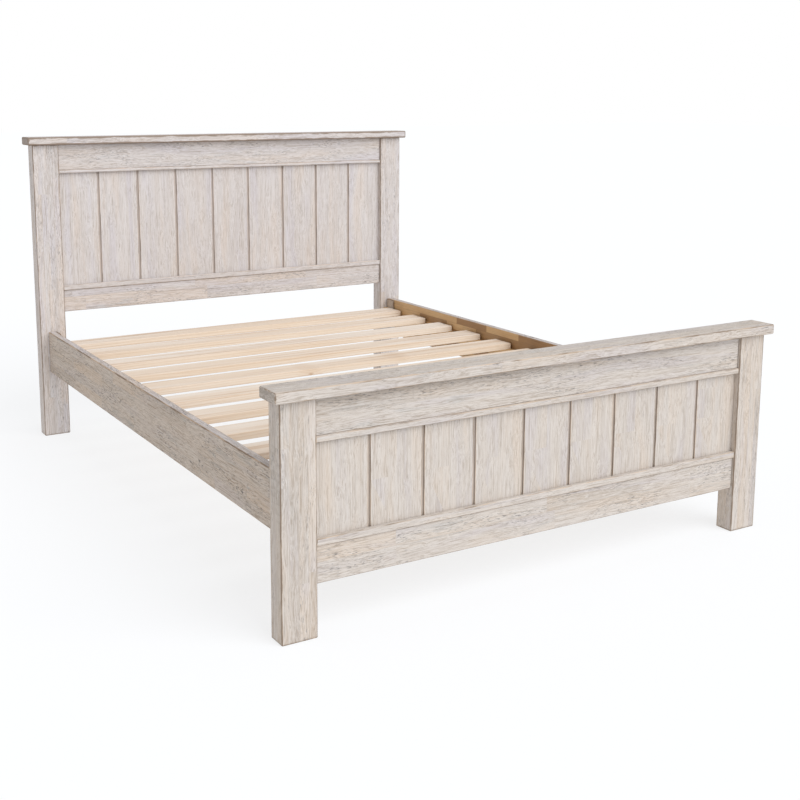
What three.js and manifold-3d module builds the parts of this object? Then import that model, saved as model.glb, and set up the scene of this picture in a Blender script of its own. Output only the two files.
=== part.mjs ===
// Slatted wooden bed frame for a queen-size mattress: a tall panelled headboard, a low panelled
// footboard, two side rails, and ten loose slats on ledgers.
//
// Units are millimetres. +Z is up, +X is to the right when the bed is seen from its foot, and
// +Y runs from the footboard to the headboard. The origin is on the floor, at the centre of the
// frame's outline.

import * as THREE from 'three';
import { mergeVertices } from 'three/addons/utils/BufferGeometryUtils.js';
import Module from 'manifold-3d';

// ---------------------------------------------------------------- driving dimensions

const GAP = 0.3; // clearance between pieces that touch
const EASE = 2; // flat taken off every outside corner of the timber
const SAME_POINT = 0.001; // corners of a mesh closer than this are one
const OVERRUN = 1; // how far a cut, or the root of a joined part, runs past the face it is on
const ROUND_SIDES = 16; // facets of a round bar or hole
const HEX_SIDES = 6;

const BED = { width: 1650, length: 2170 }; // over the outsides of the posts
const POST = { width: 100, depth: 60 };
const CAP = {
  thickness: 30,
  side: 20, // overhangs past the posts
  front: 20,
  back: 10,
  tenon: 14,
  tenonWidth: 50,
  tenonDepth: 30,
  ease: 3,
};
const END_RAIL = { thickness: 28, setback: 8, tenon: 35, tenonThickness: 12, shoulder: 10 };
const BOARD = {
  count: 9,
  thickness: 12,
  setback: 9,
  reveal: 7.5, // width of the open joint between two faces
  tongue: 4,
  lap: 8,
  slotSpare: 1,
  housing: 10,
};
const MOULDING = { proud: 5.5, ease: 2 };

const FOOTBOARD = {
  name: 'foot',
  postHeight: 617,
  lowerRail: { bottom: 139, height: 98 },
  upperRailHeight: 97,
  lowerMoulding: 20,
  upperMoulding: 17,
};
const HEADBOARD = {
  name: 'head',
  postHeight: 1146,
  lowerRail: { bottom: 492, height: 85 },
  upperRailHeight: 97,
  lowerMoulding: 20,
  upperMoulding: 12,
};

const SIDE_RAIL = {
  thickness: 27,
  height: 161,
  bottom: 257,
  inset: 31,
  tenon: 12,
  tenonThickness: 15,
  shoulder: 20,
};
const LEDGER = { width: 25, height: 35, top: 356 };
const SLAT = {
  count: 10,
  width: 98,
  thickness: 23,
  headMargin: 25,
  footMargin: 100,
  endGap: 8,
  ease: 1.5,
};
const STOP = { endGap: 2, thickness: 22 };
const PAD = { length: 55, thickness: 6, belowTop: 1, ease: 1 };
const BRACKET = { thickness: 3, postLeg: 40, railLeg: 60, height: 50, bottom: 263 };
const BOLT = {
  radius: 4,
  length: 40,
  headRadius: 7.5,
  headHeight: 5.5,
  clearance: 0.4,
  spareDepth: 2,
};
const SCREW_HOLE = { radius: 2.75, fromCorner: [22, 46] };

// ---------------------------------------------------------------- derived places

const halfWidth = BED.width / 2;
const postX = halfWidth - POST.width / 2;
const openingHalf = halfWidth - POST.width; // from the centre line to a post's inner side
const railOuterX = halfWidth - SIDE_RAIL.inset;
const railInnerX = railOuterX - SIDE_RAIL.thickness;
const railX = (railOuterX + railInnerX) / 2;
const headFront = BED.length - POST.depth; // front face of the head posts
const innerLength = headFront - POST.depth; // between the foot and head posts
const outlineCentreY = (BED.length + CAP.back - CAP.front) / 2;
const bracketBoltX = railInnerX - BRACKET.postLeg / 2;
const bracketBoltZ = BRACKET.bottom + BRACKET.height / 2;

// ---------------------------------------------------------------- materials

const limedWood = { color: 0xcfc6ba, roughness: 0.7, metalness: 0 };
const brownWood = { color: 0x7d5d3f, roughness: 0.65, metalness: 0 };
const rawPine = { color: 0xe6d0b0, roughness: 0.75, metalness: 0 };
const zincSteel = { color: 0xa9adb0, roughness: 0.35, metalness: 1 };

// ---------------------------------------------------------------- solids

const wasm = await Module();
wasm.setup();

// A triangle mesh as a solid that can be joined and cut.
function solidOf(geometry) {
  const bare = new THREE.BufferGeometry();
  bare.setAttribute('position', geometry.getAttribute('position').clone());
  bare.setIndex(geometry.getIndex());
  const merged = mergeVertices(bare, SAME_POINT);
  const vertProperties = merged.getAttribute('position').array;
  const triVerts = new Uint32Array(merged.getIndex().array);
  return new wasm.Manifold(new wasm.Mesh({ numProp: 3, vertProperties, triVerts }));
}

function geometryOf(solid) {
  const { vertProperties, triVerts } = solid.getMesh();
  const geometry = new THREE.BufferGeometry();
  geometry.setAttribute('position', new THREE.BufferAttribute(vertProperties, 3));
  geometry.setIndex(new THREE.BufferAttribute(triVerts, 1));
  const flat = geometry.toNonIndexed();
  flat.computeVertexNormals();
  return flat;
}

// A body with pieces added to it and then holes taken out of it.
function shaped(body, added, removed) {
  let solid = solidOf(body);
  for (const geometry of added) solid = solid.add(solidOf(geometry));
  for (const geometry of removed) solid = solid.subtract(solidOf(geometry));
  return geometryOf(solid);
}

// A plain box between two corners.
function box([x0, y0, z0], [x1, y1, z1]) {
  const geometry = new THREE.BoxGeometry(x1 - x0, y1 - y0, z1 - z0);
  return geometry.translate((x0 + x1) / 2, (y0 + y1) / 2, (z0 + z1) / 2);
}

// A timber between two corners, with a flat of the given size on each of its twelve edges.
function timber([x0, y0, z0], [x1, y1, z1], ease = EASE) {
  const outline = new THREE.Shape();
  outline.moveTo(x0 + ease, y0);
  outline.lineTo(x1 - ease, y0);
  outline.lineTo(x1, y0 + ease);
  outline.lineTo(x1, y1 - ease);
  outline.lineTo(x1 - ease, y1);
  outline.lineTo(x0 + ease, y1);
  outline.lineTo(x0, y1 - ease);
  outline.lineTo(x0, y0 + ease);
  const geometry = new THREE.ExtrudeGeometry(outline, {
    depth: z1 - z0 - 2 * ease,
    bevelThickness: ease,
    bevelSize: ease,
    bevelOffset: -ease,
    bevelSegments: 1,
  });
  return geometry.translate(0, 0, z0 + ease);
}

// A bar along X with the same flats on its four long edges and square ends.
function bar([x0, y0, z0], [x1, y1, z1], ease) {
  const section = new THREE.Shape();
  section.moveTo(y0 + ease, z0);
  section.lineTo(y1 - ease, z0);
  section.lineTo(y1, z0 + ease);
  section.lineTo(y1, z1 - ease);
  section.lineTo(y1 - ease, z1);
  section.lineTo(y0 + ease, z1);
  section.lineTo(y0, z1 - ease);
  section.lineTo(y0, z0 + ease);
  const geometry = new THREE.ExtrudeGeometry(section, { depth: x1 - x0, bevelEnabled: false });
  return geometry.rotateX(Math.PI / 2).rotateZ(Math.PI / 2).translate(x0, 0, 0);
}

// A round bar along Y, from y0 towards +Y.
function barAlongY(radius, length, [x, y0, z], sides = ROUND_SIDES) {
  const geometry = new THREE.CylinderGeometry(radius, radius, length, sides);
  return geometry.translate(x, y0 + length / 2, z);
}

function barAlongX(radius, length, [x0, y, z]) {
  const geometry = new THREE.CylinderGeometry(radius, radius, length, ROUND_SIDES);
  return geometry.rotateZ(-Math.PI / 2).translate(x0 + length / 2, y, z);
}

function mesh(name, geometry, look) {
  const piece = new THREE.Mesh(geometry, new THREE.MeshStandardMaterial(look));
  piece.name = name;
  return piece;
}

// Both hands of a piece: build(side) returns its geometry, side being -1 on the left and 1 on
// the right.
function pair(name, look, build) {
  return [
    mesh(`${name}_left`, build(-1), look),
    mesh(`${name}_right`, build(1), look),
  ];
}

function ordered(a, b) {
  return a < b ? [a, b] : [b, a];
}

// Corners in order for a box that lies at |x| from inner to outer on one side of the bed.
function sideBox(make, side, [inner, y0, z0], [outer, y1, z1], ...rest) {
  const ends = ordered(side * inner, side * outer);
  return make([ends[0], y0, z0], [ends[1], y1, z1], ...rest);
}

// ---------------------------------------------------------------- headboard and footboard
// Each end is built with y = 0 at its posts' front face and z = 0 on the floor.

function endLevels(end) {
  const lower = end.lowerRail.bottom + end.lowerRail.height;
  const top = end.postHeight - GAP;
  return {
    lowerRail: [end.lowerRail.bottom, lower],
    upperRail: [top - end.upperRailHeight, top],
    lowerMoulding: [lower + GAP, lower + end.lowerMoulding],
    upperMoulding: [top - end.upperRailHeight - end.upperMoulding, top - end.upperRailHeight - GAP],
  };
}

const endRailY = [END_RAIL.setback, END_RAIL.setback + END_RAIL.thickness];
const boardY = [END_RAIL.setback + BOARD.setback, END_RAIL.setback + BOARD.setback + BOARD.thickness];
const tenonMiddleY = (endRailY[0] + endRailY[1]) / 2;
const tenonY = [tenonMiddleY - END_RAIL.tenonThickness / 2, tenonMiddleY + END_RAIL.tenonThickness / 2];

// A tenon on the end of a rail, or, with slack, the mortise for it in a post.
function endTenon(side, [z0, z1], slack) {
  const inner = openingHalf - OVERRUN - GAP + slack;
  return sideBox(
    box,
    side,
    [inner, tenonY[0] - slack, z0 + END_RAIL.shoulder - slack],
    [openingHalf + END_RAIL.tenon + slack, tenonY[1] + slack, z1 - END_RAIL.shoulder + slack],
  );
}

// The housing in a post, from rail to rail, that holds the outermost board's edge.
function boardHousing(side, levels) {
  return sideBox(
    box,
    side,
    [openingHalf - OVERRUN, boardY[0] - GAP, levels.lowerRail[1] - BOARD.housing],
    [openingHalf + BOARD.housing, boardY[1] + GAP, levels.upperRail[0] + BOARD.housing],
  );
}

// Stub tenon on a post's top, and, with slack, the socket for it in the cap.
function capTenon(side, z, slack) {
  const halfX = CAP.tenonWidth / 2 + slack;
  const middleY = POST.depth / 2;
  const halfY = CAP.tenonDepth / 2 + slack;
  return box(
    [side * postX - halfX, middleY - halfY, z - OVERRUN],
    [side * postX + halfX, middleY + halfY, z + CAP.tenon + slack],
  );
}

// Mortise in a post for a side rail, and a blind hole below it for the bracket's bolt. Both open
// on the face that looks along the bed.
function sideRailHoles(side, faceY, inward) {
  const depth = SIDE_RAIL.tenon + GAP;
  const bottom = SIDE_RAIL.bottom + SIDE_RAIL.shoulder - GAP;
  const top = SIDE_RAIL.bottom + SIDE_RAIL.height - SIDE_RAIL.shoulder + GAP;
  const half = SIDE_RAIL.tenonThickness / 2 + GAP;
  const ys = ordered(faceY - inward * OVERRUN, faceY + inward * depth);
  const mortise = sideBox(box, side, [railX - half, ys[0], bottom], [railX + half, ys[1], top]);
  const holeLength = BOLT.length + BOLT.spareDepth;
  const holeStart = inward > 0 ? faceY - OVERRUN : faceY - holeLength;
  const centre = [side * bracketBoltX, holeStart, bracketBoltZ];
  const hole = barAlongY(BOLT.radius + BOLT.clearance, holeLength + OVERRUN, centre);
  return [mortise, hole];
}

function post(end, side, levels) {
  const isFoot = end === FOOTBOARD;
  const body = sideBox(timber, side, [openingHalf, 0, 0], [halfWidth, POST.depth, end.postHeight]);
  const removed = [
    endTenon(side, levels.lowerRail, GAP),
    endTenon(side, levels.upperRail, GAP),
    boardHousing(side, levels),
    ...(isFoot ? sideRailHoles(side, POST.depth, -1) : sideRailHoles(side, 0, 1)),
  ];
  return shaped(body, [capTenon(side, end.postHeight, 0)], removed);
}

function cap(end) {
  const bottom = end.postHeight + GAP;
  const reach = halfWidth + CAP.side;
  const body = timber(
    [-reach, -CAP.front, bottom],
    [reach, POST.depth + CAP.back, bottom + CAP.thickness],
    CAP.ease,
  );
  return shaped(body, [], [capTenon(-1, bottom, GAP), capTenon(1, bottom, GAP)]);
}

// A rail between the posts, with a tenon at each end. The edge towards the boards has a housing
// for them and square corners, because a moulding sits against it.
function endRail([z0, z1], isUpper) {
  const reach = openingHalf - GAP;
  const spare = 2 * EASE;
  const edge = isUpper ? z0 : z1;
  const body = timber(
    [-reach, endRailY[0], isUpper ? z0 - spare : z0],
    [reach, endRailY[1], isUpper ? z1 : z1 + spare],
  );
  const offcut = box(
    [-reach - OVERRUN, endRailY[0] - OVERRUN, isUpper ? z0 - spare - OVERRUN : z1],
    [reach + OVERRUN, endRailY[1] + OVERRUN, isUpper ? z0 : z1 + spare + OVERRUN],
  );
  const housing = box(
    [-reach - OVERRUN, boardY[0] - GAP, edge - BOARD.housing],
    [reach + OVERRUN, boardY[1] + GAP, edge + BOARD.housing],
  );
  const solid = shaped(body, [], [offcut, housing]);
  return shaped(solid, [endTenon(-1, [z0, z1], 0), endTenon(1, [z0, z1], 0)], []);
}

// A bar planted over the line where the boards meet a rail, proud of the rail's face.
function moulding([z0, z1]) {
  const reach = openingHalf - GAP;
  return bar(
    [-reach, END_RAIL.setback - MOULDING.proud, z0],
    [reach, boardY[0] - GAP, z1],
    MOULDING.ease,
  );
}

// Plan of one tongued-and-grooved board whose face starts at x = 0. The tongue on its right runs
// under the next board, and its face shows in the open joint between the two.
function boardPlan(faceWidth, isFirst, isLast) {
  const [front, back] = boardY;
  const middle = (front + back) / 2;
  const tongue = BOARD.tongue / 2;
  const slot = tongue + GAP;
  const shape = new THREE.Shape();
  const left = isFirst ? GAP - BOARD.housing : 0;
  const right = isLast ? faceWidth + BOARD.housing - GAP : faceWidth;
  shape.moveTo(left, front);
  shape.lineTo(right, front);
  if (!isLast) {
    shape.lineTo(right, middle - tongue);
    shape.lineTo(right + BOARD.reveal + BOARD.lap, middle - tongue);
    shape.lineTo(right + BOARD.reveal + BOARD.lap, middle + tongue);
    shape.lineTo(right, middle + tongue);
  }
  shape.lineTo(right, back);
  shape.lineTo(left, back);
  if (!isFirst) {
    shape.lineTo(left, middle + slot);
    shape.lineTo(left + BOARD.lap + BOARD.slotSpare, middle + slot);
    shape.lineTo(left + BOARD.lap + BOARD.slotSpare, middle - slot);
    shape.lineTo(left, middle - slot);
  }
  return shape;
}

function boards(end, levels) {
  const faceWidth = (2 * openingHalf - BOARD.reveal * (BOARD.count - 1)) / BOARD.count;
  const bottom = levels.lowerRail[1] - BOARD.housing + GAP;
  const top = levels.upperRail[0] + BOARD.housing - GAP;
  const pieces = [];
  for (let i = 0; i < BOARD.count; i += 1) {
    const plan = boardPlan(faceWidth, i === 0, i === BOARD.count - 1);
    const geometry = new THREE.ExtrudeGeometry(plan, { depth: top - bottom, bevelEnabled: false });
    const piece = mesh(`${end.name}_board_${i + 1}`, geometry, limedWood);
    piece.position.set(i * (faceWidth + BOARD.reveal) - openingHalf, 0, bottom);
    pieces.push(piece);
  }
  return pieces;
}

function panelledEnd(end) {
  const levels = endLevels(end);
  const group = new THREE.Group();
  group.add(...pair(`${end.name}_post`, limedWood, (side) => post(end, side, levels)));
  group.add(mesh(`${end.name}_cap`, cap(end), limedWood));
  for (const place of ['lower', 'upper']) {
    const rail = endRail(levels[`${place}Rail`], place === 'upper');
    group.add(mesh(`${end.name}_${place}_rail`, rail, limedWood));
    const strip = moulding(levels[`${place}Moulding`]);
    group.add(mesh(`${end.name}_${place}_moulding`, strip, limedWood));
  }
  group.add(...boards(end, levels));
  return group;
}

// ---------------------------------------------------------------- side rails and slats
// These are built with y = 0 at the foot posts' front face.

function sideRail(side) {
  const ends = [POST.depth + GAP, headFront - GAP];
  const z = [SIDE_RAIL.bottom, SIDE_RAIL.bottom + SIDE_RAIL.height];
  const half = SIDE_RAIL.tenonThickness / 2;
  const { shoulder, tenon: reach } = SIDE_RAIL;
  const body = sideBox(timber, side, [railInnerX, ends[0], z[0]], [railOuterX, ends[1], z[1]]);
  const tenon = (y0, y1) =>
    sideBox(box, side, [railX - half, y0, z[0] + shoulder], [railX + half, y1, z[1] - shoulder]);
  const footTenon = tenon(ends[0] - reach, ends[0] + OVERRUN);
  const headTenon = tenon(ends[1] - OVERRUN, ends[1] + reach);
  return shaped(body, [footTenon, headTenon], []);
}

function ledger(side) {
  const outer = railInnerX - GAP;
  return sideBox(
    timber,
    side,
    [outer - LEDGER.width, POST.depth + GAP, LEDGER.top - LEDGER.height],
    [outer, headFront - GAP, LEDGER.top],
  );
}

// A block on the ledger's head end, level with the slats, that the first slat stops against.
function slatStop(side) {
  const outer = railInnerX - GAP;
  const bottom = LEDGER.top + GAP;
  return sideBox(
    timber,
    side,
    [outer - LEDGER.width, headFront - SLAT.headMargin + STOP.endGap, bottom],
    [outer - PAD.thickness - GAP, headFront - GAP, bottom + STOP.thickness],
  );
}

// A pad on the rail's inner face, above the ledger, at the rail's end.
function pad(side, y0) {
  const outer = railInnerX - GAP;
  const top = SIDE_RAIL.bottom + SIDE_RAIL.height - PAD.belowTop;
  return sideBox(
    timber,
    side,
    [outer - PAD.thickness, y0, LEDGER.top + GAP],
    [outer, y0 + PAD.length, top],
    PAD.ease,
  );
}

// Steel angle inside a corner. Its post leg is bolted to the post and its rail leg is screwed to
// the rail. faceY is the post's face, and inward is the direction from there along the bed.
function bracket(side, faceY, inward) {
  const corner = faceY + inward * GAP;
  const z = [BRACKET.bottom, BRACKET.bottom + BRACKET.height];
  const outer = railInnerX - GAP;
  const postLegY = ordered(corner, corner + inward * BRACKET.thickness);
  const railLegY = ordered(corner, corner + inward * BRACKET.railLeg);
  const postLeg = sideBox(
    box,
    side,
    [outer - BRACKET.postLeg, postLegY[0], z[0]],
    [outer, postLegY[1], z[1]],
  );
  const railLeg = sideBox(
    box,
    side,
    [outer - BRACKET.thickness, railLegY[0], z[0]],
    [outer, railLegY[1], z[1]],
  );
  const boltHole = barAlongY(
    BOLT.radius + BOLT.clearance,
    BRACKET.thickness + 2 * OVERRUN,
    [side * bracketBoltX, postLegY[0] - OVERRUN, bracketBoltZ],
  );
  const screwHoles = SCREW_HOLE.fromCorner.map((distance) => {
    const start = side * outer - (side > 0 ? BRACKET.thickness : 0) - OVERRUN;
    const centre = [start, corner + inward * distance, bracketBoltZ];
    return barAlongX(SCREW_HOLE.radius, BRACKET.thickness + 2 * OVERRUN, centre);
  });
  return shaped(postLeg, [railLeg], [boltHole, ...screwHoles]);
}

// Hexagon-head bolt through the bracket's post leg and into the post.
function bolt(side, faceY, inward) {
  const seat = faceY + inward * (BRACKET.thickness + 2 * GAP);
  const x = side * bracketBoltX;
  const headStart = inward > 0 ? seat : seat - BOLT.headHeight;
  const shankStart = inward > 0 ? seat - BOLT.length : seat - OVERRUN;
  const head = barAlongY(BOLT.headRadius, BOLT.headHeight, [x, headStart, bracketBoltZ], HEX_SIDES);
  const shank = barAlongY(BOLT.radius, BOLT.length + OVERRUN, [x, shankStart, bracketBoltZ]);
  return shaped(head, [shank], []);
}

// The four corners, with the post face that each looks along the bed from.
function corners() {
  const places = [
    { name: 'foot', faceY: POST.depth, inward: 1 },
    { name: 'head', faceY: headFront, inward: -1 },
  ];
  const pieces = [];
  for (const { name, faceY, inward } of places) {
    const padStart = inward > 0 ? faceY + GAP : faceY - GAP - PAD.length;
    pieces.push(...pair(`${name}_rail_pad`, limedWood, (side) => pad(side, padStart)));
    pieces.push(...pair(`${name}_bracket`, zincSteel, (side) => bracket(side, faceY, inward)));
    pieces.push(...pair(`${name}_bolt`, zincSteel, (side) => bolt(side, faceY, inward)));
  }
  return pieces;
}

function slats() {
  const reach = railInnerX - SLAT.endGap;
  const travel = innerLength - SLAT.headMargin - SLAT.footMargin - SLAT.width;
  const pitch = travel / (SLAT.count - 1);
  const bottom = LEDGER.top + GAP;
  const top = bottom + SLAT.thickness;
  const geometry = timber([-reach, 0, bottom], [reach, SLAT.width, top], SLAT.ease);
  const pieces = [];
  for (let i = 0; i < SLAT.count; i += 1) {
    const piece = mesh(`slat_${String(i + 1).padStart(2, '0')}`, geometry, rawPine);
    piece.position.y = headFront - SLAT.headMargin - SLAT.width - i * pitch;
    pieces.push(piece);
  }
  return pieces;
}

// ---------------------------------------------------------------- assembly

const footboard = panelledEnd(FOOTBOARD);
const headboard = panelledEnd(HEADBOARD);
headboard.position.y = headFront;

const bed = new THREE.Group();
bed.add(footboard, headboard);
bed.add(...pair('side_rail', limedWood, sideRail));
bed.add(...pair('slat_ledger', brownWood, ledger));
bed.add(...pair('head_slat_stop', brownWood, slatStop));
bed.add(...corners());
bed.add(...slats());
bed.position.y = -outlineCentreY;

const root = new THREE.Group();
root.add(bed);

export default root;
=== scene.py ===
"""Looks of the slatted wooden bed frame: limed hardwood, rails stained brown inside, pine slats and
zinc-plated fixings, on a pale floor. Lengths are in metres."""

import math

import bpy
from mathutils import Matrix, Vector


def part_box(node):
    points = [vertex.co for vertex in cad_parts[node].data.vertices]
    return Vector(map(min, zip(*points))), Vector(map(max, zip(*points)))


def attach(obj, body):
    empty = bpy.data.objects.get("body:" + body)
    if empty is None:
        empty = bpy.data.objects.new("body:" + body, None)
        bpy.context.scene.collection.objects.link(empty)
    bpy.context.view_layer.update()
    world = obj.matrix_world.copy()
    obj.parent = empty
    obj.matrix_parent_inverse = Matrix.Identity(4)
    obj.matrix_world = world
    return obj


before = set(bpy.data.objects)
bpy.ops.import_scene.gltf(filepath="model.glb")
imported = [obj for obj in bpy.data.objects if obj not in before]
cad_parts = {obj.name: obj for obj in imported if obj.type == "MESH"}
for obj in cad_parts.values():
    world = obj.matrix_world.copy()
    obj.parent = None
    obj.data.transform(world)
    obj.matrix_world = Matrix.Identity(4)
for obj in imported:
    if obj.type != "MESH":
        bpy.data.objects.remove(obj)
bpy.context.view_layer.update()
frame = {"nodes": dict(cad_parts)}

NODES = frame["nodes"]

X, Y, Z = Vector((1, 0, 0)), Vector((0, 1, 0)), Vector((0, 0, 1))

# ---------------------------------------------------------------- camera, floor and light

CAMERA_PLACE = Vector((-2.021, -3.527, 1.336))
CAMERA_TURN = math.radians(30.18)  # to the right of straight along the bed
CAMERA_TILT = math.radians(-9.84)
CAMERA_LENS = 53.25
SENSOR_WIDTH = 36
CAMERA_SHIFT = (0.0475, -0.125)

SKY_LIGHT = 0.68
SKY_SEEN = 1.0  # the sky's strength where the camera looks at it
KEY_FROM = Vector((0.30, -0.70, 0.65))
KEY_STRENGTH = 2.0
KEY_SPREAD = math.radians(55)
FLOOR_SIZE = 80.0
FLOOR_GLOW = 0.72
FLOOR_COLOUR = (0.250, 0.260, 0.275, 1)

WHITE = (1, 1, 1, 1)


def make_camera():
    data = bpy.data.cameras.new("camera")
    data.lens = CAMERA_LENS
    data.sensor_width = SENSOR_WIDTH
    data.shift_x, data.shift_y = CAMERA_SHIFT
    data.clip_end = FLOOR_SIZE * 2
    camera = bpy.data.objects.new("camera", data)
    level = Matrix.Rotation(-CAMERA_TURN, 4, "Z")
    tilted = Matrix.Rotation(math.pi / 2 + CAMERA_TILT, 4, "X")
    camera.matrix_world = Matrix.Translation(CAMERA_PLACE) @ level @ tilted
    bpy.context.scene.collection.objects.link(camera)
    bpy.context.scene.camera = camera


def make_sky():
    world = bpy.data.worlds.new("sky")
    bpy.context.scene.world = world
    world.use_nodes = True
    graph = Graph(world.node_tree)
    graph.tree.nodes.clear()
    path = graph.add("ShaderNodeLightPath")
    strength = graph.blend(path.outputs["Is Camera Ray"], SKY_LIGHT, SKY_SEEN)
    background = graph.add("ShaderNodeBackground", {"Color": WHITE, "Strength": strength})
    graph.add("ShaderNodeOutputWorld", {"Surface": background.outputs[0]})


def make_key_light():
    data = bpy.data.lights.new("key", "SUN")
    data.energy = KEY_STRENGTH
    data.angle = KEY_SPREAD
    light = bpy.data.objects.new("key", data)
    light.rotation_mode = "QUATERNION"
    light.rotation_quaternion = KEY_FROM.to_track_quat("Z", "Y")
    bpy.context.scene.collection.objects.link(light)


def make_floor():
    half = FLOOR_SIZE / 2
    mesh = bpy.data.meshes.new("floor")
    corners = [(-half, -half, 0), (half, -half, 0), (half, half, 0), (-half, half, 0)]
    mesh.from_pydata(corners, [], [(0, 1, 2, 3)])
    floor = bpy.data.objects.new("floor", mesh)
    bpy.context.scene.collection.objects.link(floor)
    material = bpy.data.materials.new("floor")
    material.use_nodes = True
    material.cycles.emission_sampling = "NONE"
    surface = material.node_tree.nodes["Principled BSDF"].inputs
    surface["Base Color"].default_value = FLOOR_COLOUR
    surface["Roughness"].default_value = 1.0
    surface["Specular IOR Level"].default_value = 0.0
    surface["Emission Color"].default_value = WHITE
    surface["Emission Strength"].default_value = FLOOR_GLOW
    mesh.materials.append(material)


# ---------------------------------------------------------------- node trees


class Graph:
    """A node tree, with a short call for each kind of node that the materials are made of."""

    def __init__(self, tree):
        self.tree = tree

    def add(self, kind, inputs=None, **settings):
        node = self.tree.nodes.new(kind)
        for name, value in settings.items():
            setattr(node, name, value)
        for key, value in (inputs or {}).items():
            self.put(node.inputs[key], value)
        return node

    def put(self, socket, value):
        if isinstance(value, bpy.types.NodeSocket):
            self.tree.links.new(value, socket)
        else:
            socket.default_value = value

    def math(self, operation, *values, clamp=False):
        node = self.add("ShaderNodeMath", operation=operation, use_clamp=clamp)
        for socket, value in zip(node.inputs, values):
            self.put(socket, value)
        return node.outputs[0]

    def vector(self, operation, *values):
        node = self.add("ShaderNodeVectorMath", operation=operation)
        for socket, value in zip(node.inputs, values):
            self.put(socket, value)
        number = operation in ("DOT_PRODUCT", "LENGTH", "DISTANCE")
        return node.outputs["Value" if number else "Vector"]

    def scaled(self, vector, *factors):
        return self.vector("MULTIPLY", vector, factors)

    def split(self, vector):
        return self.add("ShaderNodeSeparateXYZ", {0: vector}).outputs

    def join(self, x, y, z):
        return self.add("ShaderNodeCombineXYZ", {0: x, 1: y, 2: z}).outputs[0]

    def ramp(self, value, start, end, low=0.0, high=1.0):
        """low where value is start, high where it is end, and a smooth curve between."""
        values = {"Value": value, "From Min": start, "From Max": end, "To Min": low, "To Max": high}
        node = self.add("ShaderNodeMapRange", values, interpolation_type="SMOOTHSTEP")
        return node.outputs["Result"]

    def noise(self, vector, detail=3.0, roughness=0.55, distortion=0.0):
        values = {
            "Vector": vector,
            "Scale": 1.0,
            "Detail": detail,
            "Roughness": roughness,
            "Distortion": distortion,
        }
        return self.add("ShaderNodeTexNoise", values).outputs["Fac"]

    def random(self, vector, seed):
        """A random number and a random vector for each value of vector."""
        values = {"Vector": vector, "W": seed}
        node = self.add("ShaderNodeTexWhiteNoise", values, noise_dimensions="4D")
        return node.outputs["Value"], node.outputs["Color"]

    def blend(self, factor, a, b):
        """Between two numbers."""
        node = self.add("ShaderNodeMix", data_type="FLOAT")
        for socket, value in zip(node.inputs[:1] + node.inputs[2:4], (factor, a, b)):
            self.put(socket, value)
        return node.outputs[0]

    def mix(self, factor, a, b, blend_type="MIX"):
        """Between two colours."""
        node = self.add("ShaderNodeMix", data_type="RGBA", blend_type=blend_type)
        sockets = [node.inputs[0], node.inputs[6], node.inputs[7]]
        for socket, value in zip(sockets, (factor, a, b)):
            self.put(socket, value)
        return node.outputs[2]


def new_group(name, inputs, outputs):
    """A node group as a graph, with its input sockets by name and its output node."""
    tree = bpy.data.node_groups.new(name, "ShaderNodeTree")
    for direction, sockets in (("INPUT", inputs), ("OUTPUT", outputs)):
        for socket, kind in sockets.items():
            tree.interface.new_socket(socket, in_out=direction, socket_type=f"NodeSocket{kind}")
    graph = Graph(tree)
    given = graph.add("NodeGroupInput").outputs
    result = graph.add("NodeGroupOutput")
    return graph, given, result


# ---------------------------------------------------------------- wood colours and looks

LIMED_GREIGE = (0.500, 0.447, 0.395, 1)
LIMED_WHITE = (0.610, 0.572, 0.532, 1)
LIMED_BROWN = (0.300, 0.240, 0.185, 1)
LIMED_PEACH = (0.590, 0.475, 0.365, 1)
LIMED_BLUE = (0.385, 0.390, 0.385, 1)
LIMED_LAVENDER = (0.500, 0.465, 0.470, 1)
LIMED_FLECK = (0.165, 0.155, 0.150, 1)
WORN_PEACH = (0.530, 0.415, 0.310, 1)
WORN_BROWN = (0.215, 0.155, 0.108, 1)
END_GRAIN = (0.300, 0.255, 0.210, 1)
RECESS = (0.400, 0.330, 0.270, 1)

STAIN_GOLD = (0.600, 0.385, 0.190, 1)
STAIN_BROWN = (0.340, 0.190, 0.085, 1)
STAIN_DARK = (0.150, 0.090, 0.048, 1)

PINE_PALE = (0.800, 0.725, 0.650, 1)
PINE_WARM = (0.750, 0.630, 0.515, 1)
PINE_LATE = (0.540, 0.365, 0.235, 1)
PINE_KNOT = (0.330, 0.155, 0.070, 1)
PINE_EDGE = (0.650, 0.510, 0.370, 1)


def limed_look(staves, contrast, marks, fleck, wear, browned=0.0):
    """Settings of limed_wood. staves is their width and length, and contrast how much they differ.
    marks is the strength of the brushed lines, and fleck that of the dark pores. wear is how far
    in the arrises are rubbed, and browned how brown the bare wood is."""
    width, length = staves
    return {
        "Stave Width": width,
        "Stave Length": length,
        "Stave Contrast": contrast,
        "Marks": marks,
        "Fleck": fleck,
        "Wear": wear,
        "Browned": browned,
    }


ONE_PIECE = (0.30, 5.00)  # wider than any rail, so that it has no staves side by side
ONE_BOARD = (0.50, 5.00)

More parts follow.
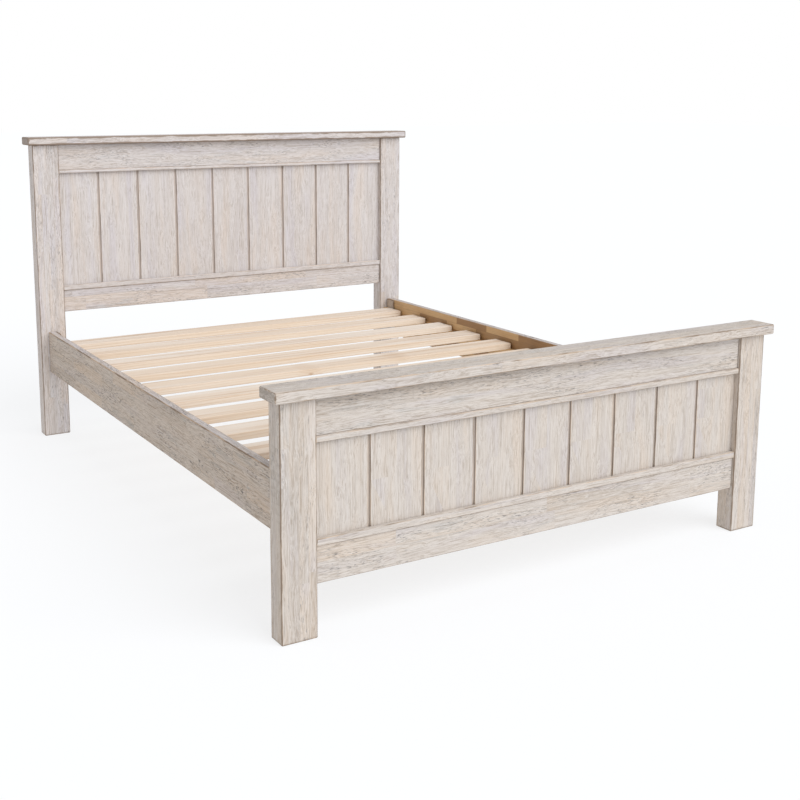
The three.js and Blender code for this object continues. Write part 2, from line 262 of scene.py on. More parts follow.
POST_LOOK = limed_look((0.0255, 0.90), 0.80, marks=1.00, fleck=0.70, wear=0.0058, browned=0.16)
WIDE_RAIL_LOOK = limed_look(ONE_PIECE, 0.00, marks=1.10, fleck=1.00, wear=0.0020, browned=0.05)
STAVED_RAIL_LOOK = limed_look((0.056, 0.52), 0.85, marks=1.00, fleck=0.90, wear=0.0032, browned=0.10)
SIDE_LOOK = limed_look((0.0405, 0.33), 1.00, marks=1.35, fleck=1.80, wear=0.0060, browned=0.02)
STRIP_LOOK = limed_look(ONE_PIECE, 0.00, marks=0.90, fleck=0.30, wear=0.0032, browned=-0.03)
BOARD_LOOK = limed_look(ONE_BOARD, 0.00, marks=0.80, fleck=0.20, wear=0.0028)
CAP_LOOKS = {
    "foot": limed_look((0.046, 0.80), 0.40, marks=1.10, fleck=0.90, wear=0.0055, browned=0.03),
    "head": limed_look((0.046, 0.80), 0.40, marks=1.10, fleck=0.70, wear=0.0120, browned=0.30),
}
INSIDE_STAVES = (0.0270, 0.21)
BROWN_STAVES = (0.06, 0.50)

# The headboard's tint is painted light: it lightens and cools that wood in place of the light it
# misses behind the slats. The footboard's is close to one.
END_TINTS_WITH_PAINTED_LIGHT = {"foot": (1.03, 1.025, 1.035, 1), "head": (1.08, 1.10, 1.18, 1)}
SIDE_TINT = (0.95, 0.885, 0.83, 1)
# Painted light: the side rails' top faces are tinted lighter and cooler than their sides.
PAINTED_LIGHT_TOP_TINT = (0.97, 0.97, 1.03, 1)

GRAIN_AXES = {"X": (X, Z, Y), "Y": (Y, Z, X), "Z": (Z, X, Y)}
END_FACING = 0.85  # how squarely a face looks along the grain, from which on it is end grain
BUMP_DEPTH = 0.0007
BUMP_STRENGTH = 0.45
WOOD_SPECULAR = 0.35

STAVE_STAGGER = 7.0  # largest shift of one row of staves along the next, in staves
STAVE_SHIFT = 9.0  # largest shift of the grain from one stave to another
GRAIN_SWAY = 0.045
KNOTS_LEFT_OUT = 0.62  # share of the places for knots that stay without one
KNOT_RINGS = 26.0
GROWTH_LINES = (105.0, 110.0)  # in a metre of pine, across its face and through it

# How far down from a rail's top the dark flecks and painted shade under the cap reach.
CAP_SHADE_REACH = 0.042
# Heights of the painted contact shadow round the foot of each post.
FLOOR_SHADOW_HEIGHTS = (0.0075, 0.0025)  # where the dark line starts and where it is full
RECESS_STRENGTH = 0.70
RECESS_FROM = 0.0016  # depth in an open joint between boards from which the wood is unlimed
BOARD_TONGUE = 0.0155  # how far a tongue reaches past its board's face

FIRST_SEED = 1.37
SEED_STEPS = {"post": 2.31, "rail": 7.93, "board": 1.73, "boards": 3.17, "slat": 3.71}
RAIL_SEED_SHIFT = 3.1
MOULDING_SEED_SHIFT = 5.7
STOP_SEED_SHIFT = 1.3
SIDE_RAIL_SEEDS = {"left": 4.21, "right": 8.83}
HAND_SEEDS = {"left": 2.9, "right": 6.1}  # of the ledgers, slat stops and pads

# ---------------------------------------------------------------- wood


def timber_space():
    """Where a point lies in its timber. Place runs from the timber's low corner, grain first.
    Edge is the distance to the nearest long or end arris, and End is 1 on end grain."""
    inputs = dict.fromkeys(("Low", "High", "Along", "Across", "Through"), "Vector")
    outputs = {"Place": "Vector", "Size": "Vector", "Edge": "Float", "End": "Float"}
    graph, given, result = new_group("timber_space", inputs, outputs)
    point = graph.add("ShaderNodeTexCoord").outputs["Object"]
    from_low = graph.vector("SUBTRACT", point, given["Low"])
    size = graph.vector("SUBTRACT", given["High"], given["Low"])
    axes = [given[name] for name in ("Along", "Across", "Through")]
    place = graph.join(*[graph.vector("DOT_PRODUCT", from_low, axis) for axis in axes])
    extent = graph.join(*[graph.vector("DOT_PRODUCT", size, axis) for axis in axes])
    to_sides = graph.vector("MINIMUM", place, graph.vector("SUBTRACT", extent, place))
    a, b, c = graph.split(to_sides)
    nearer, further = graph.math("MINIMUM", a, b), graph.math("MAXIMUM", a, b)
    edge = graph.math("MAXIMUM", nearer, graph.math("MINIMUM", further, c))
    normal = graph.add("ShaderNodeNewGeometry").outputs["True Normal"]
    facing = graph.math("ABSOLUTE", graph.vector("DOT_PRODUCT", normal, given["Along"]))
    graph.put(result.inputs["Place"], place)
    graph.put(result.inputs["Size"], extent)
    graph.put(result.inputs["Edge"], edge)
    graph.put(result.inputs["End"], graph.math("GREATER_THAN", facing, END_FACING))
    return graph.tree


def stave_cells(graph, given):
    """Random numbers for each stave that the timber is glued up from, and the distance to the
    stave's nearest joint as a share of its width."""
    seed, width, length = given["Seed"], given["Stave Width"], given["Stave Length"]
    along, across, through = graph.split(given["Place"])
    row = graph.math("DIVIDE", across, width)
    layer = graph.math("FLOOR", graph.math("DIVIDE", through, width))
    row_index = graph.math("FLOOR", row)
    row_shift, _ = graph.random(graph.join(row_index, layer, 0.0), seed)
    shift = graph.math("MULTIPLY", row_shift, STAVE_STAGGER)
    run = graph.math("ADD", graph.math("DIVIDE", along, length), shift)
    cell = graph.join(graph.math("FLOOR", run), row_index, layer)
    value, colour = graph.random(cell, seed)
    part = graph.math("FRACT", row)
    to_joint = graph.math("MINIMUM", part, graph.math("SUBTRACT", 1.0, part))
    return value, colour, to_joint


def fresh_start(graph, colour):
    """A shift of the grain that differs from stave to stave."""
    return graph.vector("SCALE", colour, (0, 0, 0), (0, 0, 0), STAVE_SHIFT)


def bent_grain(graph, place, seed, colour):
    """Grain coordinates that start anew in each stave and wander a little to either side."""
    start = graph.vector("ADD", fresh_start(graph, colour), graph.join(seed, seed, 0.0))
    straight = graph.vector("ADD", place, start)
    wander = graph.noise(graph.scaled(straight, 3.5, 14, 14), 2, 0.5)
    sway = graph.math("MULTIPLY", graph.math("SUBTRACT", wander, 0.5), GRAIN_SWAY)
    return graph.vector("ADD", straight, graph.join(0.0, sway, sway))


def limed_tones(graph, given, grain, value, to_joint):
    """The wood's own colour under the pigment: broad figure, staves, warm and cool patches, and a
    blue-grey bloom."""
    contrast = given["Stave Contrast"]
    figure = graph.noise(graph.scaled(grain, 1.3, 26, 26), 3, 0.6)
    base = graph.mix(graph.ramp(figure, 0.34, 0.66, 0.34, 0.68), LIMED_WHITE, LIMED_GREIGE)
    peachy = graph.math("MULTIPLY", graph.ramp(value, 0.66, 0.95, 0.0, 0.60), contrast)
    base = graph.mix(peachy, base, LIMED_PEACH)
    dull = graph.math("MULTIPLY", graph.ramp(value, 0.34, 0.05, 0.0, 0.42), contrast)
    base = graph.mix(dull, base, LIMED_BROWN)
    hue = graph.noise(graph.scaled(grain, 2.2, 20, 20), 2, 0.5)
    base = graph.mix(graph.ramp(hue, 0.50, 0.70, 0.0, 0.40), base, LIMED_PEACH)
    base = graph.mix(graph.ramp(hue, 0.50, 0.32, 0.0, 0.60), base, LIMED_LAVENDER)
    bloom = graph.noise(graph.scaled(grain, 5, 38, 38), 3, 0.6)
    bloom_amount = graph.math("MULTIPLY", graph.ramp(bloom, 0.56, 0.78, 0.0, 0.75), given["Fleck"])
    base = graph.mix(bloom_amount, base, LIMED_BLUE)
    joint = graph.math("MULTIPLY", graph.ramp(to_joint, 0.030, 0.005, 0.0, 0.40), contrast)
    return graph.mix(joint, base, WORN_PEACH)


def limed_knots(graph, given, grain, base):
    """A few knots, with the grain in ovals round them and a blue-grey bloom."""
    spots = {"Vector": graph.scaled(grain, 2.4, 8.5, 0.0), "Scale": 1.0, "Randomness": 0.9}
    knots = graph.add("ShaderNodeTexVoronoi", spots).outputs
    distance = knots["Distance"]
    chosen = graph.math("GREATER_THAN", graph.split(knots["Color"])[0], KNOTS_LEFT_OUT)
    present = graph.math("MULTIPLY", chosen, given["Fleck"], clamp=True)
    around = graph.math("MULTIPLY", graph.ramp(distance, 0.30, 0.06), present)
    rings = graph.math("FRACT", graph.math("MULTIPLY", distance, KNOT_RINGS))
    ring = graph.math("MULTIPLY", graph.ramp(rings, 0.45, 0.85, 0.0, 0.55), around)
    base = graph.mix(graph.math("MULTIPLY", around, 0.35), base, LIMED_BLUE)
    base = graph.mix(ring, base, LIMED_BROWN)
    centre = graph.math("MULTIPLY", graph.ramp(distance, 0.045, 0.020, 0.0, 0.8), present)
    return graph.mix(centre, base, LIMED_FLECK)


def limed_marks(graph, given, grain, base):
    """Brushed grain: long lines, finer dashes of brown and white, and dark pores in patches."""
    marks = given["Marks"]
    line = graph.noise(graph.scaled(grain, 1.4, 270, 270), 3, 0.66)
    dash = graph.noise(graph.scaled(grain, 17, 640, 640), 3, 0.70)
    fibre = graph.noise(graph.scaled(grain, 30, 1500, 1500), 2, 0.6)
    layers = (
        (line, 0.50, 0.68, 0.58, LIMED_BROWN),
        (line, 0.49, 0.32, 0.52, LIMED_WHITE),
        (dash, 0.51, 0.66, 0.70, LIMED_BROWN),
        (dash, 0.49, 0.35, 0.70, LIMED_WHITE),
        (fibre, 0.52, 0.70, 0.45, LIMED_WHITE),
    )
    for noise, start, end, strength, colour in layers:
        amount = graph.math("MULTIPLY", graph.ramp(noise, start, end, 0.0, strength), marks)
        base = graph.mix(amount, base, colour)
    pore = graph.noise(graph.scaled(grain, 55, 480, 480), 2, 0.5)
    patch = graph.ramp(graph.noise(graph.scaled(grain, 4, 24, 24), 2, 0.6), 0.44, 0.64)
    # The flecks-and-shade input spreads the dark pores and browns the wood: painted shade under the
    # caps and a painted contact shadow round the feet of the posts, along with real dark flecks.
    spread = graph.math("ADD", graph.math("MULTIPLY", patch, given["Fleck"]), given["Flecks And Painted Shade"])
    fleck = graph.math("MULTIPLY", graph.ramp(pore, 0.56, 0.68), spread, clamp=True)
    base = graph.mix(graph.math("MULTIPLY", given["Flecks And Painted Shade"], 0.45), base, LIMED_BROWN)
    height = graph.math("SUBTRACT", graph.math("ADD", fibre, line), dash)
    height = graph.math("SUBTRACT", height, fleck)
    return graph.mix(fleck, base, LIMED_FLECK), height


def limed_ends(graph, given, seeded, base):
    """Darker end grain with growth rings, and the browner the more its arrises are browned."""
    rings = graph.noise(graph.scaled(seeded, 8, 160, 40), 3, 0.6, 1.2)
    end_colour = graph.mix(graph.ramp(rings, 0.40, 0.62), END_GRAIN, LIMED_GREIGE)
    browned = graph.math("MULTIPLY", given["Browned"], 3.0, clamp=True)
    end_colour = graph.mix(browned, end_colour, WORN_BROWN)
    return graph.mix(graph.math("MULTIPLY", given["End"], 0.75), base, end_colour)


def limed_edges(graph, given, seeded, base):
    """Pigment rubbed off the arrises, as far in as Wear says, down to peach wood, or to brown
    wood as Browned goes from 0 to 0.3."""
    rub = graph.noise(graph.scaled(seeded, 16, 70, 70), 3, 0.6)
    worn_to = graph.math("MULTIPLY", graph.ramp(rub, 0.30, 0.72, 0.4, 1.0), given["Wear"])
    bare = graph.math("DIVIDE", given["Edge"], worn_to)
    shade = graph.noise(graph.scaled(seeded, 9, 90, 90), 2, 0.5)
    browned = graph.math("ADD", shade, given["Browned"])
    worn = graph.mix(graph.ramp(browned, 0.42, 0.60), WORN_PEACH, WORN_BROWN)
    return graph.mix(graph.ramp(bare, 1.0, 0.45, 0.0, 0.90), base, worn)


def limed_wood():
    """Brushed hardwood with white pigment in its grain, rubbed back on the arrises."""
    numbers = ("Edge", "End", "Seed", "Flecks And Painted Shade", "Recess", *POST_LOOK)
    inputs = {"Place": "Vector", "Tint": "Color", **dict.fromkeys(numbers, "Float")}
    outputs = {"Color": "Color", "Roughness": "Float", "Height": "Float"}
    graph, given, result = new_group("limed_wood", inputs, outputs)
    place, seed = given["Place"], given["Seed"]
    value, colour, to_joint = stave_cells(graph, given)
    grain = bent_grain(graph, place, seed, colour)
    base = limed_tones(graph, given, grain, value, to_joint)
    base = limed_knots(graph, given, grain, base)
    base, height = limed_marks(graph, given, grain, base)
    seeded = graph.vector("ADD", place, graph.join(seed, seed, 0.0))
    base = limed_ends(graph, given, seeded, base)
    base = limed_edges(graph, given, seeded, base)
    base = graph.mix(given["Recess"], base, RECESS)
    base = graph.mix(1.0, base, given["Tint"], "MULTIPLY")
    graph.put(result.inputs["Color"], base)
    graph.put(result.inputs["Roughness"], graph.ramp(height, 0.0, 1.0, 0.58, 0.76))
    graph.put(result.inputs["Height"], height)
    return graph.tree


def stained_wood():
    """Hardwood staves under a brown stain."""
    inputs = {"Place": "Vector", "Seed": "Float", "Stave Width": "Float", "Stave Length": "Float"}
    outputs = {"Color": "Color", "Roughness": "Float", "Height": "Float"}
    graph, given, result = new_group("stained_wood", inputs, outputs)
    value, colour, to_joint = stave_cells(graph, given)
    grain = graph.vector("ADD", given["Place"], fresh_start(graph, colour))
    figure = graph.noise(graph.scaled(grain, 3, 40, 40), 3, 0.6, 0.8)
    fibre = graph.noise(graph.scaled(grain, 16, 600, 600), 3, 0.65)
    base = graph.mix(graph.ramp(value, 0.25, 0.65), STAIN_BROWN, STAIN_GOLD)
    base = graph.mix(graph.ramp(figure, 0.46, 0.70, 0.0, 0.45), base, STAIN_DARK)
    base = graph.mix(graph.ramp(fibre, 0.55, 0.75, 0.0, 0.5), base, STAIN_DARK)
    base = graph.mix(graph.ramp(to_joint, 0.03, 0.005, 0.0, 0.5), base, STAIN_DARK)
    graph.put(result.inputs["Color"], base)
    graph.put(result.inputs["Roughness"], graph.ramp(figure, 0.3, 0.7, 0.42, 0.58))
    graph.put(result.inputs["Height"], fibre)
    return graph.tree


def pine():
    """Planed pine with long growth lines and a few small knots."""
    inputs = {"Place": "Vector", "Edge": "Float", "End": "Float", "Seed": "Float"}
    outputs = {"Color": "Color", "Roughness": "Float", "Height": "Float"}
    graph, given, result = new_group("pine", inputs, outputs)
    seed = given["Seed"]
    place = graph.vector("ADD", given["Place"], graph.join(seed, 0.0, seed))
    flat = graph.vector("ADD", place, graph.join(0.0, seed, 0.0))
    spots = {"Vector": graph.scaled(flat, 3.2, 6.0, 0.0), "Scale": 1.0, "Randomness": 1.0}
    knots = graph.add("ShaderNodeTexVoronoi", spots).outputs["Distance"]
    around = graph.ramp(knots, 0.22, 0.03)
    warp = graph.noise(graph.scaled(place, 1.3, 9, 9), 2, 0.5)
    bent = graph.math("ADD", graph.math("MULTIPLY", warp, 5.0), around)
    _, across, through = graph.split(place)
    lines_across = graph.math("MULTIPLY", across, GROWTH_LINES[0])
    lines_through = graph.math("MULTIPLY", through, GROWTH_LINES[1])
    spread = graph.math("ADD", lines_across, lines_through)
    late = graph.ramp(graph.math("FRACT", graph.math("ADD", spread, bent)), 0.45, 0.97)
    streak = graph.noise(graph.scaled(place, 1.1, 190, 55), 3, 0.75)
    fibre = graph.noise(graph.scaled(place, 12, 520, 520), 3, 0.6)
    tone = graph.noise(graph.scaled(place, 0.9, 14, 14), 2, 0.5)
    base = graph.mix(graph.ramp(tone, 0.38, 0.62), PINE_PALE, PINE_WARM)
    base = graph.mix(graph.ramp(streak, 0.50, 0.66, 0.0, 0.75), base, PINE_LATE)
    base = graph.mix(graph.ramp(streak, 0.48, 0.30, 0.0, 0.60), base, PINE_PALE)
    base = graph.mix(graph.math("MULTIPLY", late, 0.36), base, PINE_LATE)
    base = graph.mix(graph.ramp(fibre, 0.45, 0.75, 0.0, 0.30), base, PINE_PALE)
    base = graph.mix(graph.math("MULTIPLY", around, 0.35), base, PINE_LATE)
    base = graph.mix(graph.ramp(knots, 0.060, 0.035, 0.0, 0.85), base, PINE_KNOT)
    normal = graph.add("ShaderNodeNewGeometry").outputs["True Normal"]
    side = graph.math("ABSOLUTE", graph.split(normal)[1])
    base = graph.mix(graph.math("MULTIPLY", side, 0.40), base, PINE_EDGE)
    base = graph.mix(graph.math("MULTIPLY", given["End"], 0.45), base, PINE_LATE)
    # Painted shade: a darker line along every arris, standing in for the thin shadows between the
    # slats.
    base = graph.mix(graph.ramp(given["Edge"], 0.0020, 0.0, 0.0, 0.40), base, PINE_LATE)
    graph.put(result.inputs["Color"], base)
    graph.put(result.inputs["Roughness"], graph.ramp(fibre, 0.3, 0.7, 0.55, 0.70))
    graph.put(result.inputs["Height"], graph.math("ADD", fibre, graph.math("MULTIPLY", late, 0.5)))
    return graph.tree


def wood_material(name, low, high, grain):
    """A new material, its graph and the outputs of its timber_space node."""
    material = bpy.data.materials.new(name)
    material.use_nodes = True
    graph = Graph(material.node_tree)
    along, across, through = GRAIN_AXES[grain]
    values = {"Low": low, "High": high, "Along": along, "Across": across, "Through": through}
    space = graph.add("ShaderNodeGroup", node_tree=TIMBER_SPACE)
    for key, value in values.items():
        space.inputs[key].default_value = value
    return material, graph, space.outputs


def use_group(graph, tree, values):
    node = graph.add("ShaderNodeGroup", node_tree=tree)
    for key, value in values.items():
        graph.put(node.inputs[key], value)
    return node.outputs


def finish_surface(graph, outputs):
    """Feeds a wood group's colour, roughness and height to the material's shader."""
    shader = graph.tree.nodes["Principled BSDF"]
    shader.inputs["Specular IOR Level"].default_value = WOOD_SPECULAR
    height = outputs["Height"]
    values = {"Height": height, "Strength": BUMP_STRENGTH, "Distance": BUMP_DEPTH}
    bump = graph.add("ShaderNodeBump", values)
    graph.put(shader.inputs["Base Color"], outputs["Color"])
    graph.put(shader.inputs["Roughness"], outputs["Roughness"])
    graph.put(shader.inputs["Normal"], bump.outputs["Normal"])


def limed_values(space, seed, look, tint):
    """Inputs of limed_wood for one timber, without recess and without added flecks and painted
    shade.
    """
    places = {name: space[name] for name in ("Place", "Edge", "End")}
    return {**look, **places, "Seed": seed, "Tint": tint, "Recess": 0.0, "Flecks And Painted Shade": 0.0}


def dress(node, material):
    NODES[node].data.materials.clear()
    NODES[node].data.materials.append(material)


def lime(node, grain, look, seed, tint, low=None, high=None, joint_depth=0.0, flecks_and_shade=None):
    """Limed wood on a CAD node. low and high are the corners of what shows of the timber. Past
    joint_depth from its front and back the wood is unlimed, and the last argument gives where the
    wood gets more dark flecks and painted shade."""
    box_low, box_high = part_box(node)
    low, high = low or box_low, high or box_high
    material, graph, space = wood_material(node, low, high, grain)
    values = limed_values(space, seed, look, tint)
    if joint_depth:
        depth = graph.split(space["Place"])[2]
        front = graph.math("GREATER_THAN", depth, joint_depth)
        back = graph.math("LESS_THAN", depth, (high - low).y - joint_depth)
        between = graph.math("MULTIPLY", front, back)
        values["Recess"] = graph.math("MULTIPLY", between, RECESS_STRENGTH)
    if flecks_and_shade:
        values["Flecks And Painted Shade"] = flecks_and_shade(graph, space)
    finish_surface(graph, use_group(graph, LIMED_WOOD, values))
    dress(node, material)


def flecks_and_shade_under_cap(graph, space):
    """Dark flecks and painted shade along a rail's top edge, under the cap, and less towards its
    right end.
    """
    along, up, _ = graph.split(space["Place"])
    length, height, _ = graph.split(space["Size"])
    from_top = graph.math("SUBTRACT", height, up)
    share = graph.ramp(graph.math("DIVIDE", along, length), 0.1, 0.75, 0.75, 0.15)
    return graph.math("MULTIPLY", graph.ramp(from_top, CAP_SHADE_REACH, 0.0), share)


def painted_shadow_at_floor(graph, space):
    """A painted contact shadow: a dark line round the foot of a post, where it stands on the floor.
    """
    return graph.ramp(graph.split(space["Place"])[0], *FLOOR_SHADOW_HEIGHTS)


# Painted shade and dark flecks under the footboard's cap; the headboard's upper rail gets none.
UPPER_RAIL_SHADE = {"foot": flecks_and_shade_under_cap, "head": None}


def lime_ends():
    """Posts, caps, rails, mouldings and boards of the footboard and the headboard."""
    seed = FIRST_SEED
    for end, tint in END_TINTS_WITH_PAINTED_LIGHT.items():
        for side in ("left", "right"):
            post = f"{end}_post_{side}"
            low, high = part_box(post)
            high.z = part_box(f"{end}_cap")[0].z
            # Each post gets a painted contact shadow where it meets the floor.
            lime(post, "Z", POST_LOOK, seed, tint, low, high, flecks_and_shade=painted_shadow_at_floor)
            seed += SEED_STEPS["post"]
        lime(f"{end}_cap", "X", CAP_LOOKS[end], seed, tint)
        lime_rail(end, "lower", STAVED_RAIL_LOOK, seed, tint, None)
        seed += SEED_STEPS["rail"]
        lime_rail(end, "upper", WIDE_RAIL_LOOK, seed, tint, UPPER_RAIL_SHADE[end])
        seed += SEED_STEPS["rail"]
        lime_boards(end, seed, tint)
        seed += SEED_STEPS["boards"]


def lime_rail(end, level, look, seed, tint, flecks_and_shade):
    """A cross rail, without its tenons, and its moulding."""
    rail, moulding = f"{end}_{level}_rail", f"{end}_{level}_moulding"
    low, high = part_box(rail)
    opening_low, opening_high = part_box(moulding)
    low.x, high.x = opening_low.x, opening_high.x
    lime(rail, "X", look, seed + RAIL_SEED_SHIFT, tint, low, high, flecks_and_shade=flecks_and_shade)
    lime(moulding, "X", STRIP_LOOK, seed + MOULDING_SEED_SHIFT, tint)


def lime_boards(end, seed, tint):
    """The boards between two rails. The last one has no tongue."""
    nodes = sorted(name for name in NODES if name.startswith(f"{end}_board_"))
    for index, node in enumerate(nodes, 1):
        low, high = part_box(node)
        if node != nodes[-1]:
            high.x -= BOARD_TONGUE
        lime(node, "Z", BOARD_LOOK, seed + index * SEED_STEPS["board"], tint, low, high, RECESS_FROM)


def side_rail_material(node, inward, seed):
    """Limed outside, tinted lighter and cooler on top as painted light, and stained on the face
    towards the mattress.
    """
    low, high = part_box(node)
    material, graph, space = wood_material(node, low, high, "Y")
    normal = graph.add("ShaderNodeNewGeometry").outputs["True Normal"]
    # Painted light: faces looking up get the lighter, cooler top tint.
    upward = graph.ramp(graph.split(normal)[2], 0.85, 0.97)
    tint = graph.mix(upward, SIDE_TINT, PAINTED_LIGHT_TOP_TINT)
    limed = use_group(graph, LIMED_WOOD, limed_values(space, seed, SIDE_LOOK, tint))
    stained = use_group(graph, STAINED_WOOD, stained_values(space, seed, INSIDE_STAVES))
    facing = graph.vector("DOT_PRODUCT", normal, inward)
    inside = graph.ramp(facing, 0.60, 0.80)
    outputs = {
        "Color": graph.mix(inside, limed["Color"], stained["Color"]),
        "Roughness": graph.blend(inside, limed["Roughness"], stained["Roughness"]),
        "Height": graph.blend(inside, limed["Height"], stained["Height"]),
    }
    finish_surface(graph, outputs)
    dress(node, material)


def stained_values(space, seed, staves):
    width, length = staves
    return {"Place": space["Place"], "Seed": seed, "Stave Width": width, "Stave Length": length}


def stain(node, seed):
    low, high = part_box(node)
    material, graph, space = wood_material(node, low, high, "Y")
    finish_surface(graph, use_group(graph, STAINED_WOOD, stained_values(space, seed, BROWN_STAVES)))
    dress(node, material)


def plane_pine(node, seed):
    low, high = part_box(node)
    material, graph, space = wood_material(node, low, high, "X")
    values = {"Place": space["Place"], "Edge": space["Edge"], "End": space["End"], "Seed": seed}
    finish_surface(graph, use_group(graph, PINE, values))
    dress(node, material)


# ---------------------------------------------------------------- steel

ZINC = (0.600, 0.615, 0.640, 1)
ZINC_DULL = (0.430, 0.440, 0.450, 1)

SCREW_SIDES = 24
SOCKET_SIDES = 6
SOCKET_RADIUS = 0.0017

# Rings of a screw's head, as (radius, height), from its rim inwards
SLAT_SCREW = ((0.0020, -0.0030), (0.0037, -0.0004), (0.0038, 0.0001), (0.0034, 0.0004))
SLAT_SOCKET = 0.0012
SLAT_SCREW_INSET = 0.0085  # from a slat's end
BRACKET_SCREW = ((0.0046, 0.0000), (0.0048, 0.0008), (0.0040, 0.0021), (0.0028, 0.0026))
BRACKET_SOCKET = 0.0014
BRACKET_SCREW_PLACES = (0.022, 0.046)  # from the bracket's corner
BRACKET_PLATE = 0.003


def zinc_material():
    """Bright zinc plate with a faint cloudy bloom."""
    material = bpy.data.materials.new("zinc_steel")
    material.use_nodes = True
    graph = Graph(material.node_tree)
    point = graph.add("ShaderNodeTexCoord").outputs["Object"]
    bloom = graph.noise(graph.scaled(point, 160, 160, 160), 3, 0.6)
    grit = graph.noise(graph.scaled(point, 1800, 1800, 1800), 2, 0.5)
    shader = graph.tree.nodes["Principled BSDF"]
    shader.inputs["Metallic"].default_value = 1.0
    graph.put(shader.inputs["Base Color"], graph.mix(graph.ramp(bloom, 0.35, 0.7), ZINC, ZINC_DULL))
    graph.put(shader.inputs["Roughness"], graph.ramp(bloom, 0.3, 0.7, 0.28, 0.46))
    bump = graph.add("ShaderNodeBump", {"Height": grit, "Strength": 0.2, "Distance": 0.0002})
    graph.put(shader.inputs["Normal"], bump.outputs["Normal"])
    return material


def ring_face(first, next_ring, i):
    """The face between two rings of vertices at side i."""
    j = (i + 1) % SCREW_SIDES
    return (first + i, first + j, next_ring + j, next_ring + i)


def screw_head(name, profile, socket_depth):
    """A head with a six-sided socket: the profile's rings turned about Z, then two socket rings."""
    angles = [2 * math.pi * i / SCREW_SIDES for i in range(SCREW_SIDES)]
    verts = [(r * math.cos(angle), r * math.sin(angle), z) for r, z in profile for angle in angles]
    top = profile[-1][1]
    half_sector = math.pi / SOCKET_SIDES
    for z in (top, top - socket_depth):
        for angle in angles:
            sector = angle % (2 * half_sector) - half_sector
            radius = SOCKET_RADIUS * math.cos(half_sector) / math.cos(sector)
            verts.append((radius * math.cos(angle), radius * math.sin(angle), z))
    rings = range(0, len(verts), SCREW_SIDES)
    sides = range(SCREW_SIDES)
    faces = [ring_face(a, b, i) for a, b in zip(rings, rings[1:]) for i in sides]
    faces.append(tuple(rings[-1] + i for i in sides))
    faces.append(tuple(reversed(sides)))
    mesh = bpy.data.meshes.new(name)
    mesh.from_pydata(verts, [], faces)
    return mesh


def is_steel(node):
    return "bracket" in node or "bolt" in node


def place_screw(name, mesh, place, axis):
    screw = bpy.data.objects.new(name, mesh)
    turn = axis.to_track_quat("Z", "Y").to_matrix().to_4x4()
    screw.matrix_world = Matrix.Translation(place) @ turn
    bpy.context.scene.collection.objects.link(screw)
    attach(screw, "root")


def add_slat_screws(material):
    """One countersunk screw through each end of each slat, into the ledger."""
    mesh = screw_head("slat_screw", SLAT_SCREW, SLAT_SOCKET)
    mesh.materials.append(material)
    for slat in SLATS:
        low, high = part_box(slat)
        middle = (low.y + high.y) / 2
        for side, x in (("left", low.x + SLAT_SCREW_INSET), ("right", high.x - SLAT_SCREW_INSET)):
            place_screw(f"{slat}_screw_{side}", mesh, Vector((x, middle, high.z)), Z)


def add_bracket_screws(material):
    """Two pan-head screws through each bracket's long leg, into the side rail."""
    mesh = screw_head("bracket_screw", BRACKET_SCREW, BRACKET_SOCKET)
    mesh.materials.append(material)
    for end, inward in (("foot", 1), ("head", -1)):
        for side, toward_middle in (("left", X), ("right", -X)):
            low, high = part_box(f"{end}_bracket_{side}")
            corner = low.y if inward > 0 else high.y
            x = low.x + BRACKET_PLATE if toward_middle.x > 0 else high.x - BRACKET_PLATE
            for number, distance in enumerate(BRACKET_SCREW_PLACES, 1):
                place = Vector((x, corner + inward * distance, (low.z + high.z) / 2))
                name = f"{end}_bracket_screw_{side}_{number}"
                place_screw(name, mesh, place, toward_middle)


# ---------------------------------------------------------------- edges of the timbers

TIMBER_ROUND = 0.0006
BOARD_ROUND = 0.0008
STEEL_ROUND = 0.0004
ARRIS_SEGMENTS = 2
ARRIS_ANGLE = math.radians(25)  # edges sharper than this are rounded
FLAT_ANGLE = math.radians(1)
WELD_DISTANCE = 0.00001


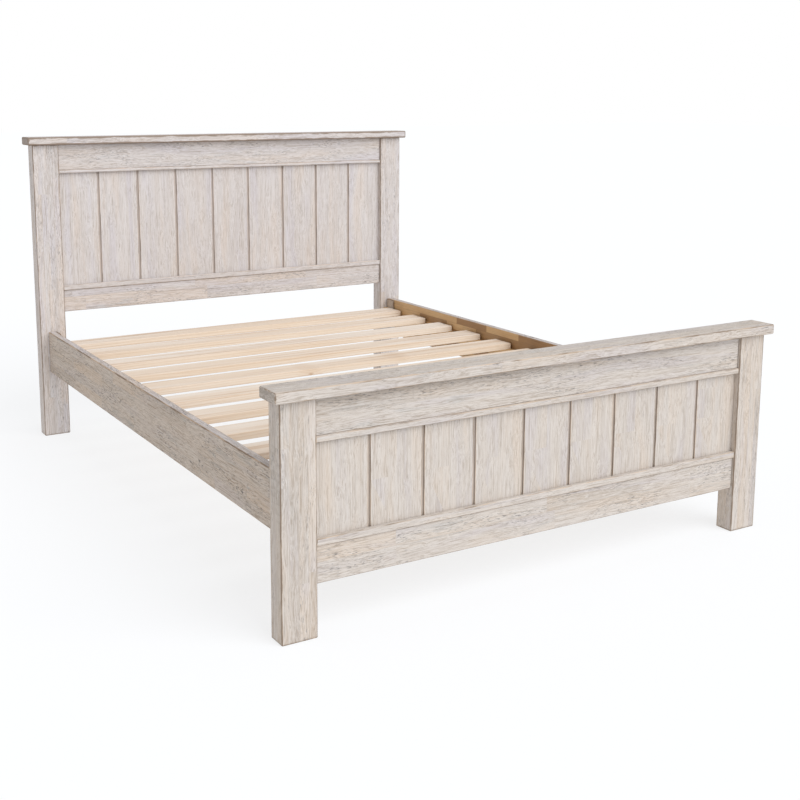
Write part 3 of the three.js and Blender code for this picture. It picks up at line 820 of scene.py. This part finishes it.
def soften(node, width):
    """Rounds a CAD node's arrises. The imported mesh is split at its edges, so it is joined and
    its flat faces are made whole first."""
    piece = NODES[node]
    attribute = piece.data.attributes.get("custom_normal")
    if attribute:
        piece.data.attributes.remove(attribute)
    weld = piece.modifiers.new("weld", "WELD")
    weld.merge_threshold = WELD_DISTANCE
    flat = piece.modifiers.new("flat", "DECIMATE")
    flat.decimate_type = "DISSOLVE"
    flat.angle_limit = FLAT_ANGLE
    bevel = piece.modifiers.new("arris", "BEVEL")
    bevel.width = width
    bevel.segments = ARRIS_SEGMENTS
    bevel.limit_method = "ANGLE"
    bevel.angle_limit = ARRIS_ANGLE
    bevel.harden_normals = True
    for polygon in piece.data.polygons:
        polygon.use_smooth = True


def soften_all():
    for node in NODES:
        if "board" in node:
            soften(node, BOARD_ROUND)
        elif is_steel(node):
            soften(node, STEEL_ROUND)
        else:
            soften(node, TIMBER_ROUND)


# ---------------------------------------------------------------- assembly

TIMBER_SPACE = timber_space()
LIMED_WOOD = limed_wood()
STAINED_WOOD = stained_wood()
PINE = pine()

bpy.context.scene.view_settings.view_transform = "Standard"
make_camera()
make_sky()
make_key_light()
make_floor()

lime_ends()
side_rail_material("side_rail_left", X, SIDE_RAIL_SEEDS["left"])
side_rail_material("side_rail_right", -X, SIDE_RAIL_SEEDS["right"])
for hand, hand_seed in HAND_SEEDS.items():
    stain(f"slat_ledger_{hand}", hand_seed)
    stain(f"head_slat_stop_{hand}", hand_seed + STOP_SEED_SHIFT)
    for end_name in END_TINTS_WITH_PAINTED_LIGHT:
        lime(f"{end_name}_rail_pad_{hand}", "Z", POST_LOOK, hand_seed, SIDE_TINT)
SLATS = sorted(name for name in NODES if name.startswith("slat_") and "ledger" not in name)
for slat_index, slat in enumerate(SLATS, 1):
    plane_pine(slat, slat_index * SEED_STEPS["slat"])

ZINC_STEEL = zinc_material()
for steel in filter(is_steel, NODES):
    dress(steel, ZINC_STEEL)
add_slat_screws(ZINC_STEEL)
add_bracket_screws(ZINC_STEEL)
soften_all()
